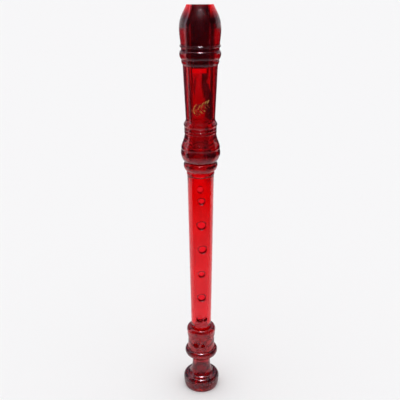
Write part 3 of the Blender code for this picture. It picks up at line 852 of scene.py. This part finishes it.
beak_high = HEIGHTS["head_joint"][1][2]
window_high = HEIGHTS["block"][0][2]


def beak_back(y):
    """The beak's height at a distance y behind the bore's middle: the flat tip, or the arc that hollows
    the back, whichever is lower, with a small round where they meet."""
    tip = np.array((TIP_THICKNESS - TIP_RADIUS, beak_high))
    heel = np.array((BEAK_RADIUS, beak_high - BEAK_CUT_LENGTH))
    half = np.linalg.norm(heel - tip) / 2
    along = (heel - tip) / (2 * half)
    out = math.sqrt(BEAK_CUT_RADIUS**2 - half**2)
    middle = (tip + heel) / 2 + out * np.array((-along[1], along[0]))
    arc = middle[1] - np.sqrt(BEAK_CUT_RADIUS**2 - np.minimum(np.abs(y - middle[0]), BEAK_CUT_RADIUS) ** 2)
    arc = np.where(y < tip[0] - 6 * MM, beak_high + CUTTER_REACH, arc)
    gap = np.clip((arc - beak_high) / TIP_ROUND, -30, 30)
    return beak_high - TIP_ROUND * np.log1p(np.exp(-gap))


def prism(name, outline, half_widths):
    """A (y, z) outline drawn at x = -w and again at x = w, with its two sides closed."""
    y, z = np.array(outline).T
    half = np.broadcast_to(half_widths, y.shape)
    count = len(y)
    points = np.vstack([np.column_stack([-half, y, z]), np.column_stack([half, y, z])])
    mesh = bpy.data.meshes.new(name)
    ring = np.arange(count)
    walls = np.stack([ring, ring + count, np.roll(ring, -1) + count, np.roll(ring, -1)], axis=-1)
    faces = [*walls.tolist(), ring.tolist(), (ring[::-1] + count).tolist()]
    mesh.from_pydata(points.tolist(), [], faces)
    shape = bmesh.new()
    shape.from_mesh(mesh)
    bmesh.ops.recalc_face_normals(shape, faces=shape.faces)
    shape.to_mesh(mesh)
    shape.free()
    thing = bpy.data.objects.new(name, mesh)
    scene.collection.objects.link(thing)
    return thing


def cut_away(piece, cutters, sliver=0.0):
    """Takes the cutters out of the piece and keeps the result as its mesh. Edges shorter than the
    sliver are merged, because crossing cuts leave faces without area."""
    for cutter in cutters:
        boolean = piece.modifiers.new(cutter.name, "BOOLEAN")
        boolean.solver = "EXACT"
        boolean.object = cutter
    bpy.context.view_layer.update()
    done = piece.evaluated_get(bpy.context.evaluated_depsgraph_get())
    mesh = bpy.data.meshes.new_from_object(done)
    piece.modifiers.clear()
    if sliver:
        shape = bmesh.new()
        shape.from_mesh(mesh)
        bmesh.ops.triangulate(shape, faces=[face for face in shape.faces if len(face.verts) > 4])
        bmesh.ops.remove_doubles(shape, verts=shape.verts, dist=sliver)
        bmesh.ops.dissolve_degenerate(shape, edges=shape.edges, dist=sliver)
        shape.to_mesh(mesh)
        shape.free()
    piece.data = mesh
    for cutter in cutters:
        bpy.data.objects.remove(cutter)
    mesh.polygons.foreach_set("use_smooth", np.ones(len(mesh.polygons), bool))
    mesh.set_sharp_from_angle(angle=math.radians(40))


def beak_cutter():
    """All that lies above the beak's back: its curve in y, carried across in x."""
    y = np.linspace(-CUTTER_REACH, CUTTER_REACH, 161)
    above = beak_high + CUTTER_REACH
    outline = [*zip(y, beak_back(y)), (y[-1], above), (y[0], above)]
    return prism("beak_cutter", outline, CUTTER_REACH)


def block_section(count=120):
    """The plug's outline: at an angle from the front it is the flat front, the key's side or the round
    back, whichever comes first going out from the bore and then in again."""
    radius = HEAD_BORE_RADIUS + PRESS_FIT
    key = WINDOW_HALF + PRESS_FIT
    front = HEAD_BORE_RADIUS
    corner_angle = math.atan2(key, front)
    side_angle = math.asin(key / radius)
    angle = np.concatenate([
        np.linspace(0.0, corner_angle, count // 6, endpoint=False),
        np.linspace(corner_angle, side_angle, count // 10, endpoint=False),
        np.linspace(side_angle, np.pi, count // 3, endpoint=False),
    ])
    reach = np.where(
        angle < corner_angle, front / np.cos(angle), np.where(angle < side_angle, key / np.sin(angle), radius)
    )
    half = np.column_stack([reach * np.sin(angle), -reach * np.cos(angle)])
    mirrored = half[1:][::-1] * (-1, 1)
    return np.vstack([half, [(0.0, radius)], mirrored])


def block_prism():
    """The section carried up the bore, from a chamfered end at the window to above the beak's tip."""
    section = block_section()
    size = len(section)
    shrink = 1 - BLOCK_CHAMFER / HEAD_BORE_RADIUS
    inside = shrink * np.linspace(1.0, 0.1, BLOCK_END_RINGS)
    low, high = window_high + BLOCK_CHAMFER, beak_high + BLOCK_PAST_TIP
    heights = np.linspace(low, high, BLOCK_WALL_RINGS)
    eased = np.clip((heights - beak_high + TIP_EASE_LENGTH) / (0.4 * TIP_EASE_LENGTH), 0.0, 1.0)
    walls = 1 - TIP_EASE / HEAD_BORE_RADIUS * eased
    scale = np.concatenate([inside[::-1], walls, inside * walls[-1]])
    level = np.concatenate([np.full(len(inside), window_high), heights, np.full(len(inside), high)])
    points = np.dstack([scale[:, None] * section[:, 0], scale[:, None] * section[:, 1]])
    points = np.dstack([points, level[:, None] * np.ones(size)]).reshape(-1, 3)
    i, j = np.meshgrid(np.arange(len(scale) - 1), np.arange(size), indexing="ij")
    on = (j + 1) % size
    faces = np.stack([i * size + j, i * size + on, (i + 1) * size + on, (i + 1) * size + j], axis=-1)
    low_pole, high_pole = len(points), len(points) + 1
    points = np.vstack([points, [(0, 0, level[0])], [(0, 0, level[-1])]])
    ring = np.arange(size)
    last = (len(scale) - 1) * size
    mesh = bpy.data.meshes.new("block_plug")
    ends = np.vstack([
        np.column_stack([np.roll(ring, -1), ring, np.full(size, low_pole)]),
        np.column_stack([last + ring, last + np.roll(ring, -1), np.full(size, high_pole)]),
    ])
    mesh.from_pydata(points.tolist(), [], [*faces.reshape(-1, 4).tolist(), *ends.tolist()])
    thing = bpy.data.objects.new("block_plug", mesh)
    scene.collection.objects.link(thing)
    return thing


BLOCK_RED = (0.5, 0.05, 0.07)
BLOCK_DEPTH = ((0.75, 0.02, 0.03), 900.0)
dense = clear_red_plastic(
    "dense_red",
    [(window_high, BLOCK_RED), (beak_high, BLOCK_RED)],
    BLOCK_DEPTH,
    roughness=0.12,
    ripple_strength=0.25,
)
block_piece = block_prism()
cut_away(block_piece, [beak_cutter()])
block_piece.data.materials.append(dense)
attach(block_piece, "head")
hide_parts("block")

# ---------------------------------------------------------------------------------------------
# Head joint. Beak, ringed barrel and bulb in one moulding of clear red, with the windway's roof, the
# window and the sloping lip cut into its front. Its socket slides over the middle joint's tenon.
# ---------------------------------------------------------------------------------------------
BARREL_TOP_RADIUS = 13.15 * MM
BARREL_END_RADIUS = 11.3 * MM
BARREL_LENGTH = 40.6 * MM
BEAK_SHOULDER = 16.6 * MM
BEAK_BASE_DROP = 0.85 * MM
BEAK_BEAD_HEIGHT = 2.0 * MM
BEAK_BEAD_SWELL = 0.72 * MM
BEAK_GROOVE_HEIGHT = 2.0 * MM
BEAK_GROOVE_DEPTH = 0.35 * MM
HEAD_RING_HEIGHT = 6.6 * MM
HEAD_RING_SWELL = 1.51 * MM
UNDER_RING_HEIGHT = 4.2 * MM
UNDER_RING_SWELL = 0.95 * MM
UNDER_RING_STEP = 0.6 * MM
FLARE_HEIGHT = 6.4 * MM
FLARE_SWELL = 1.65 * MM
REED_HEIGHT = 2.4 * MM
REED_SWELL = 0.28 * MM
REED_STEP = 0.95 * MM
COVE_HEIGHT = 10.6 * MM
BULB_SWELL = 3.85 * MM
BULB_HEIGHT = 12.6 * MM
INCISION = 0.35 * MM
INCISION_HEIGHT = 2.6 * MM
END_RING_HEIGHT = 6.8 * MM
END_RING_SWELL = 2.7 * MM
WAIST_STEP = 1.5 * MM
END_GROOVE_HEIGHT = 0.6 * MM
END_BEAD_HEIGHT = 3.4 * MM
END_BEAD_SWELL = 0.4 * MM
WINDOW_HEIGHT = 4.0 * MM
WINDWAY_HEIGHT = 1.0 * MM
MOUTH_HEIGHT = 1.7 * MM
LIP_EDGE = 0.35 * MM
LIP_DROP = 0.3 * MM
RAMP_LENGTH = 18.5 * MM
RAMP_END_SHARE = 0.62
UNDERCUT_LENGTH = 14.0 * MM
PAST = 4.0 * MM
SLIVER = 0.004 * MM

head_low = HEIGHTS["head_joint"][0][2]
head_socket_radius = HEAD_TENON_RADIUS + FIT_GAP
head_socket_high = head_low + HEAD_TENON_LENGTH + SEAT_GAP
end_ring_low = head_low + END_BEAD_HEIGHT + END_GROOVE_HEIGHT
bulb_low = end_ring_low + END_RING_HEIGHT
cove_low = bulb_low + BULB_HEIGHT
reeds_low = cove_low + COVE_HEIGHT
flare_low = reeds_low + 2 * REED_HEIGHT
barrel_low = flare_low + FLARE_HEIGHT
barrel_high = barrel_low + BARREL_LENGTH
head_ring_low = barrel_high + UNDER_RING_HEIGHT
beak_groove_low = head_ring_low + HEAD_RING_HEIGHT
beak_bead_low = beak_groove_low + BEAK_GROOVE_HEIGHT
beak_low = beak_bead_low + BEAK_BEAD_HEIGHT
lip_height = window_high - WINDOW_HEIGHT


def head_outer():
    """The head's outside from above the beak's tip down to its end bead, as (radius, height)."""
    top = BARREL_TOP_RADIUS
    base = BEAK_RADIUS - BEAK_BASE_DROP
    dip = base - BEAK_GROOVE_DEPTH
    under = top + UNDER_RING_STEP
    reeds = BARREL_END_RADIUS + REED_STEP
    bulb = BARREL_END_RADIUS + BULB_SWELL
    waist = TUBE_TOP_RADIUS + WAIST_STEP
    end = TUBE_TOP_RADIUS
    reed_middle = (reeds, reeds_low + REED_HEIGHT)
    flare_edge = (BARREL_END_RADIUS + FLARE_SWELL, flare_low + 0.28 * FLARE_HEIGHT)
    incision_low = cove_low - INCISION_HEIGHT
    shoulder = beak_high - BEAK_SHOULDER
    return np.vstack([
        [(TIP_RADIUS, beak_high + 1.0 * MM)],
        sweep(
            (TIP_RADIUS, beak_high),
            (TIP_RADIUS + 1.8 * MM, beak_high - 0.32 * BEAK_SHOULDER),
            (BEAK_RADIUS, beak_high - 0.55 * BEAK_SHOULDER),
            (BEAK_RADIUS, shoulder),
            28,
        ),
        sweep(
            (BEAK_RADIUS, shoulder),
            (BEAK_RADIUS, beak_low + 6.4 * MM),
            (base + 0.1 * MM, beak_low + 3.0 * MM),
            (base, beak_low),
            18,
        ),
        bead((base, beak_low), (dip + 0.1 * MM, beak_bead_low), BEAK_BEAD_SWELL),
        bead((dip, beak_groove_low), (under, head_ring_low), HEAD_RING_SWELL, 26),
        sweep(
            (under, head_ring_low - 0.2 * MM),
            (under + UNDER_RING_SWELL, head_ring_low - 0.5 * MM),
            (top + UNDER_RING_SWELL, barrel_high + 1.2 * MM),
            (top, barrel_high),
            16,
        ),
        straight((top, barrel_high - 0.6 * MM), (BARREL_END_RADIUS, barrel_low)),
        sweep(
            (BARREL_END_RADIUS, barrel_low),
            (BARREL_END_RADIUS, barrel_low - 2.2 * MM),
            (flare_edge[0], flare_edge[1] + 1.8 * MM),
            flare_edge,
        ),
        bead((reeds, flare_low), reed_middle, REED_SWELL, 9),
        bead(reed_middle, (reeds, reeds_low), REED_SWELL, 9),
        sweep(
            (reeds, reeds_low),
            (reeds + 0.2 * MM, reeds_low - 4.4 * MM),
            (bulb - 1.0 * MM, cove_low + 3.6 * MM),
            (bulb - 0.05 * MM, cove_low),
            18,
        ),
        [(bulb - 0.05 * MM, cove_low - 1.0 * MM), (bulb - INCISION, cove_low - 1.8 * MM)],
        sweep(
            (bulb, incision_low),
            (bulb + 0.9 * MM, incision_low - 4.2 * MM),
            (bulb - 0.9 * MM, bulb_low + 2.4 * MM),
            (waist, bulb_low),
            24,
        ),
        bead((waist, bulb_low), (end + 0.3 * MM, end_ring_low), END_RING_SWELL / 2 + 0.4 * MM, 22),
        bead((end, end_ring_low - END_GROOVE_HEIGHT), (end - 0.05 * MM, head_low), END_BEAD_SWELL),
    ])


def head_bore():
    """The head's inside from the socket's rim up over its step and on up the bore."""
    socket, bore, step = head_socket_radius, HEAD_BORE_RADIUS, head_socket_high
    return np.vstack([
        [(socket + TENON_CHAMFER, head_low), (socket, head_low + TENON_CHAMFER)],
        straight((socket, head_low + 1.0 * MM), (socket, step - EDGE)),
        corner((socket, step - 1.0), (socket, step), (bore, step)),
        corner((socket, step), (bore, step), (bore, step + 1.0)),
        straight((bore, step + 1.0 * MM), (bore, beak_high + 1.0 * MM), 1.5 * MM),
    ])


def head_cutters():
    """The windway with its undercut, the window, and the slope above the lip, each across the front."""
    roof, floor = HEAD_BORE_RADIUS + WINDWAY_HEIGHT, HEAD_BORE_RADIUS
    mouth = HEAD_BORE_RADIUS + MOUTH_HEIGHT
    bore_side = math.sqrt(HEAD_BORE_RADIUS**2 - WINDOW_HALF**2)
    fall = (BARREL_TOP_RADIUS - BARREL_END_RADIUS) / BARREL_LENGTH
    foot_of_ramp = BARREL_TOP_RADIUS - fall * RAMP_LENGTH
    slope = (foot_of_ramp - floor - LIP_EDGE) / RAMP_LENGTH
    run = RAMP_LENGTH + PAST
    front = -BEAK_RADIUS - PAST
    windway = prism(
        "windway_cutter",
        [
            (0.0, beak_high + PAST),
            (-mouth, beak_high + PAST),
            (-mouth, beak_high),
            (-roof, window_high),
            (LIP_DROP - floor, lip_height),
            (-bore_side, lip_height - UNDERCUT_LENGTH),
            (0.0, lip_height - UNDERCUT_LENGTH),
        ],
        WINDOW_HALF,
    )
    window = prism(
        "window_cutter",
        [(front, lip_height), (front, window_high), (-0.5 * floor, window_high), (-0.5 * floor, lip_height)],
        WINDOW_HALF,
    )
    end_half = WINDOW_HALF * RAMP_END_SHARE
    half = np.array((end_half, WINDOW_HALF, WINDOW_HALF, WINDOW_HALF, WINDOW_HALF, end_half))
    ramp = prism(
        "ramp_cutter",
        [
            (front, lip_height - run),
            (front, lip_height),
            (front, lip_height + 0.5 * WINDOW_HEIGHT),
            (-floor - LIP_EDGE, lip_height + 0.5 * WINDOW_HEIGHT),
            (-floor - LIP_EDGE, lip_height),
            (-floor - LIP_EDGE - slope * run, lip_height - run),
        ],
        half,
    )
    return [windway, window, ramp, beak_cutter()]


head_outline = without_repeats(np.vstack([head_outer(), head_bore()]))
head_piece = link_mesh(
    "head_joint_moulding",
    turn_outline(head_outline).reshape(-1, 3),
    grid_faces(len(head_outline), AROUND).reshape(-1, 4),
)
cut_away(head_piece, head_cutters(), SLIVER)
# Painted light and shade on the head: dark over the bulb and cove and from the rings up the beak, a little
# darker along the barrel, a lighter band at the under ring, and the plain clear red at the end bead and the
# beak's tip.
BARREL_END_PAINTED_SHADE = (0.72, 0.2, 0.28)
BARREL_TOP_PAINTED_SHADE = (0.78, 0.2, 0.28)
UNDER_RING_PAINTED_LIGHT = (0.9, 0.3, 0.38)
# Painted glow: an emission near the beak's tip, to either side of the bore, that stands in for light piped
# along the wall.
TIP_GLOW = {
    "from": beak_high - 10.0 * MM,
    "past": HEAD_BORE_RADIUS,
    "color": (1.0, 0.01, 0.01, 1.0),
    "strength": 0.38,
}
head_red = clear_red_plastic(
    "clear_red_head",
    [
        (head_low, BRIGHT),
        (bulb_low, DEEP_PAINTED_SHADE),
        (reeds_low, DEEP_PAINTED_SHADE),
        (barrel_low, BARREL_END_PAINTED_SHADE),
        (barrel_high - 8.0 * MM, BARREL_TOP_PAINTED_SHADE),
        (barrel_high, UNDER_RING_PAINTED_LIGHT),
        (barrel_high + 2.0 * MM, DEEP_PAINTED_SHADE),
        (beak_high - 13.0 * MM, DEEP_PAINTED_SHADE),
        (beak_high - 9.0 * MM, BRIGHT),
        (beak_high, BRIGHT),
    ],
    CLEAR_DEPTH,
    roughness=0.13,
    ripple_strength=0.12,
    glow=TIP_GLOW,
)
head_piece.data.materials.append(head_red)
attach(head_piece, "head")
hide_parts("head_joint")

# ---------------------------------------------------------------------------------------------
# Foil ornament. A small sprig of slender leaves, stamped in gold foil on the barrel's front below
# the ramp. The foil is a few hundredths of a millimetre thick and partly rubbed away.
# ---------------------------------------------------------------------------------------------
SPRIG_BELOW_LIP = 24.9 * MM
SPRIG_HALF = 7.4 * MM
SPRIG_RISE = 2.6 * MM
STEM_HALF_WIDTH = 0.13 * MM
LEAF_PAIRS = 6
LEAF_LENGTH = 6.4 * MM
LEAF_HALF_WIDTH = 0.5 * MM
LEAF_SPREAD = math.radians(62)
LEAF_GAP = 0.3 * MM
FIRST_LEAF_SHARE = 0.12
LEAVES_SHARE = 0.86
LEAF_SHORTENING = 0.45
LEAF_CURL = 0.3
LEAF_LEAN = 0.15
FOIL_LIFT = 0.035 * MM
FOIL_HALF_THICKNESS = 0.02 * MM

sprig_height = lip_height - SPRIG_BELOW_LIP


def foil_strip(line, half_width, around=8):
    """A flattened tube pressed on the barrel: at each point of the flat line (across, up) it is an
    ellipse, half_width wide to each side and the foil's half thickness deep, closed at both ends."""
    ahead = np.gradient(line, axis=0)
    ahead /= np.linalg.norm(ahead, axis=1)[:, None]
    side = np.column_stack([-ahead[:, 1], ahead[:, 0]])
    turn = np.arange(around) * (2 * np.pi / around)
    flat = line[:, None] + side[:, None] * (half_width[:, None] * np.cos(turn))[..., None]
    deep = FOIL_LIFT + FOIL_HALF_THICKNESS * np.sin(turn) * np.ones(len(line))[:, None]
    ends = np.stack([line[0], line[-1]])
    flat = np.vstack([flat.reshape(-1, 2), ends])
    deep = np.concatenate([deep.ravel(), [FOIL_LIFT, FOIL_LIFT]])
    height = sprig_height + flat[:, 1]
    wall = np.interp(height, (barrel_low, barrel_high), (BARREL_END_RADIUS, BARREL_TOP_RADIUS))
    angle = flat[:, 0] / wall
    reach = wall + deep
    points = np.column_stack([reach * np.sin(angle), -reach * np.cos(angle), height])
    count = len(line)
    i, j = np.meshgrid(np.arange(count - 1), np.arange(around), indexing="ij")
    on = (j + 1) % around
    quads = np.stack([i * around + on, (i + 1) * around + on, (i + 1) * around + j, i * around + j], -1)
    ring = np.arange(around)
    last = (count - 1) * around
    start_pole, end_pole = count * around, count * around + 1
    first_fan = np.column_stack([np.full(around, start_pole), np.roll(ring, -1), ring])
    last_fan = np.column_stack([np.full(around, end_pole), last + ring, last + np.roll(ring, -1)])
    return points, [*quads.reshape(-1, 4).tolist(), *first_fan.tolist(), *last_fan.tolist()]


def sprig_strips():
    """The stem rises across the barrel as a sine, and slender leaves leave it in pairs. A leaf's half
    width is a sine of the share along it, so it is pointed at both ends."""
    share = np.linspace(0.0, 1.0, 40)
    across = (2 * share - 1) * SPRIG_HALF
    stem = np.column_stack([across, SPRIG_RISE * np.sin(across / SPRIG_HALF * np.pi / 2)])
    yield stem, STEM_HALF_WIDTH * (1.05 - share)
    t = np.linspace(0.0, 1.0, 16)
    for pair in range(LEAF_PAIRS):
        at = FIRST_LEAF_SHARE + LEAVES_SHARE * pair / LEAF_PAIRS
        root = np.array([np.interp(at, share, stem[:, 0]), np.interp(at, share, stem[:, 1])])
        length = LEAF_LENGTH * (1 - LEAF_SHORTENING * at)
        for way in (-1, 1):
            heading = way * LEAF_SPREAD * (1 - LEAF_CURL * t) + LEAF_LEAN
            step = np.column_stack([np.cos(heading), np.sin(heading)]) * length
            beside = root + (0.0, way * LEAF_GAP)
            line = beside + (np.cumsum(step, axis=0) - step[0]) / len(t)
            yield line, LEAF_HALF_WIDTH * np.sin(np.pi * np.clip(t, 0.02, 0.98)) ** 0.8


def gold_foil(name):
    """Stamped foil: brushed gold with a fine grain, rubbed down to the red plastic's colour in patches."""
    material = bpy.data.materials.new(name)
    material.use_nodes = True
    nodes, links = material.node_tree.nodes, material.node_tree.links
    shader = nodes["Principled BSDF"]
    shader.inputs["Metallic"].default_value = 0.85
    where = nodes.new("ShaderNodeTexCoord")
    rubbed = nodes.new("ShaderNodeTexNoise")
    rubbed.inputs["Scale"].default_value = 420.0
    rubbed.inputs["Detail"].default_value = 4.0
    links.new(where.outputs["Object"], rubbed.inputs["Vector"])
    color = nodes.new("ShaderNodeValToRGB")
    color.color_ramp.elements[0].position = 0.46
    color.color_ramp.elements[0].color = (0.28, 0.03, 0.02, 1.0)
    color.color_ramp.elements[1].position = 0.60
    color.color_ramp.elements[1].color = (0.85, 0.52, 0.14, 1.0)
    links.new(rubbed.outputs["Fac"], color.inputs["Fac"])
    links.new(color.outputs["Color"], shader.inputs["Base Color"])
    sheen = nodes.new("ShaderNodeValToRGB")
    sheen.color_ramp.elements[0].color = (0.55, 0.55, 0.55, 1.0)
    sheen.color_ramp.elements[1].color = (0.30, 0.30, 0.30, 1.0)
    links.new(rubbed.outputs["Fac"], sheen.inputs["Fac"])
    links.new(sheen.outputs["Color"], shader.inputs["Roughness"])
    grain = nodes.new("ShaderNodeTexNoise")
    grain.inputs["Scale"].default_value = 2600.0
    links.new(where.outputs["Object"], grain.inputs["Vector"])
    bump = nodes.new("ShaderNodeBump")
    bump.inputs["Strength"].default_value = 0.3
    bump.inputs["Distance"].default_value = 0.01 * MM
    links.new(grain.outputs["Fac"], bump.inputs["Height"])
    links.new(bump.outputs["Normal"], shader.inputs["Normal"])
    return material


foil_points, foil_faces = [], []
for line, half_width in sprig_strips():
    points, faces = foil_strip(line, half_width)
    start = sum(len(p) for p in foil_points)
    foil_points.append(points)
    foil_faces.extend([start + corner for corner in face] for face in faces)
foil_mesh = bpy.data.meshes.new("foil_sprig")
foil_mesh.from_pydata(np.vstack(foil_points).tolist(), [], foil_faces)
foil_mesh.polygons.foreach_set("use_smooth", np.ones(len(foil_mesh.polygons), bool))
foil_piece = bpy.data.objects.new("foil_sprig", foil_mesh)
scene.collection.objects.link(foil_piece)
foil_piece.data.materials.append(gold_foil("gold_foil"))
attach(foil_piece, "head")
